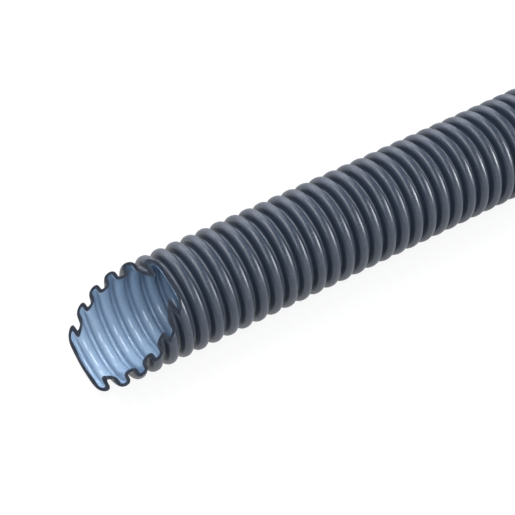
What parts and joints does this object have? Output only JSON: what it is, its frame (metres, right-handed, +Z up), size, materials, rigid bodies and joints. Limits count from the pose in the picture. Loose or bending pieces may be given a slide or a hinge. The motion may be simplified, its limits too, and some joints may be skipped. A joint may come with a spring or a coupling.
{
  "type": "corrugated conduit",
  "caption": "Straight length of flexible ribbed plastic conduit with a pale inner lining, one end cut square and the other on a slant.",
  "frame": {"origin": "middle of the underside of the box around the whole length, where the ribs rest on the floor", "axes": "+X along the conduit from the slanted end to the square end, +Z up"},
  "size_m": [0.9994, 0.032, 0.032],
  "materials": {
    "outer_wall": "satin, dark blue-grey",
    "sliding_layer": "smooth, light steel blue"
  },
  "bodies": {
    "root": {"outer_wall": "outer_wall", "sliding_layer": "sliding_layer"}
  },
  "joints": []
}
